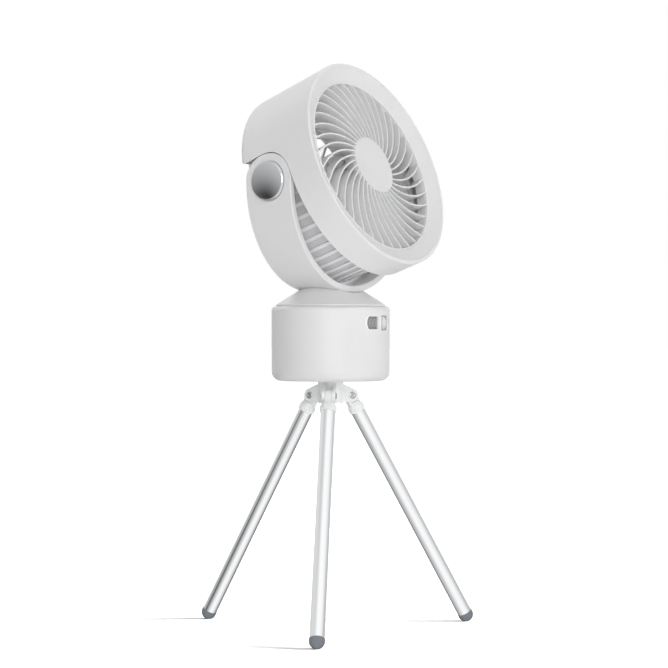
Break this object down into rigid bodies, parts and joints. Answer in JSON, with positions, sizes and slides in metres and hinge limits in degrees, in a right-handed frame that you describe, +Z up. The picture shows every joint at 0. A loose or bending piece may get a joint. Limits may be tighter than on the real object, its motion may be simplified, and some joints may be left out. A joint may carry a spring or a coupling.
{
  "type": "portable camping fan",
  "caption": "Battery table fan with a drum head tilting in a U-shaped yoke on a swivelling neck, a round battery base with a button and a small display, and a folding tripod",
  "frame": {"origin": "on the ground under the swivel axis, midway between the three feet", "axes": "+Z up along the swivel axis; the stored fan faces -Y, tipped up by 20.5 degrees; +X lies along the tilt axis, on the right seen from the front"},
  "size_m": [0.2304, 0.2089, 0.4622],
  "materials": {
    "white_shell": "satin, fine texture",
    "white_grille": "satin",
    "grey_cage": "satin",
    "smoked_window": "smooth, smoked",
    "polished_cap": "polished",
    "leg_tube": "fine brushed, bright",
    "foot_rubber": "matte",
    "tripod_plastic": "satin",
    "steel": "plain",
    "brass": "plain",
    "dark_plastic": "matte",
    "windings": "enamelled copper",
    "board": "solder mask",
    "cell_wrap": "shrink sleeve"
  },
  "bodies": {
    "base": {"base_shell": "white_shell", "base_cover": "white_shell", "cover_screws": "steel", "display_window": "smoked_window", "control_board": "board", "tact_switch": "dark_plastic", "charge_port": "steel", "battery_tray": "dark_plastic", "battery_cells": "cell_wrap", "thread_insert": "brass", "tripod_crown": "tripod_plastic", "tripod_stud": "steel", "hinge_pin_1": "steel", "hinge_pin_2": "steel", "hinge_pin_3": "steel", "swivel_bush": "dark_plastic"},
    "yoke": {"yoke_band": "white_shell", "yoke_screws": "steel", "neck_cone": "white_shell", "swivel_retainer": "steel", "retainer_screws": "steel", "pivot_bush_left": "dark_plastic", "pivot_bush_right": "dark_plastic", "friction_washer_left": "dark_plastic", "friction_washer_right": "dark_plastic", "pivot_cap_left": "polished_cap", "pivot_cap_right": "polished_cap"},
    "head": {"head_shell": "white_shell", "front_grille": "white_grille", "hub_cap": "white_grille", "rear_cage": "grey_cage", "cage_screws": "steel", "motor_stator": "windings", "motor_bearings": "steel", "pivot_pin_left": "steel", "pivot_pin_right": "steel"},
    "fan": {"impeller": "white_grille", "impeller_nut": "brass", "motor_rotor": "steel", "motor_shaft": "steel"},
    "button": {"power_button": "white_shell"},
    "leg_1": {"leg_socket_1": "tripod_plastic", "leg_tube_1": "leg_tube", "rubber_foot_1": "foot_rubber"},
    "leg_2": {"leg_socket_2": "tripod_plastic", "leg_tube_2": "leg_tube", "rubber_foot_2": "foot_rubber"},
    "leg_3": {"leg_socket_3": "tripod_plastic", "leg_tube_3": "leg_tube", "rubber_foot_3": "foot_rubber"}
  },
  "joints": [
    {"name": "neck_swivel", "type": "hinge", "parent": "base", "child": "yoke", "pos_m": [0, 0, 0.26448], "axis": [0, 0, 1], "range_deg": [-60, 60]},
    {"name": "head_tilt", "type": "hinge", "parent": "yoke", "child": "head", "pos_m": [0, 0, 0.363], "axis": [-1, 0, 0], "range_deg": [-20, 70]},
    {"name": "fan_spin", "type": "hinge", "parent": "head", "child": "fan", "pos_m": [0, 0, 0.363], "axis": [0, -0.9367, 0.3502], "continuous": true},
    {"name": "button_press", "type": "slide", "parent": "base", "child": "button", "axis": [0, 1, 0], "range_m": [0, 0.0008], "stiffness_N_per_m": 400, "springref_m": -0.001},
    {"name": "leg_1_fold", "type": "hinge", "parent": "base", "child": "leg_1", "pos_m": [-0.01498, -0.00865, 0.19158], "axis": [0.5, -0.866, 0], "range_deg": [0, 30]},
    {"name": "leg_2_fold", "type": "hinge", "parent": "base", "child": "leg_2", "pos_m": [0.01498, -0.00865, 0.19158], "axis": [0.5, 0.866, 0], "range_deg": [0, 30]},
    {"name": "leg_3_fold", "type": "hinge", "parent": "base", "child": "leg_3", "pos_m": [0, 0.0173, 0.19158], "axis": [-1, 0, 0], "range_deg": [0, 30]}
  ]
}
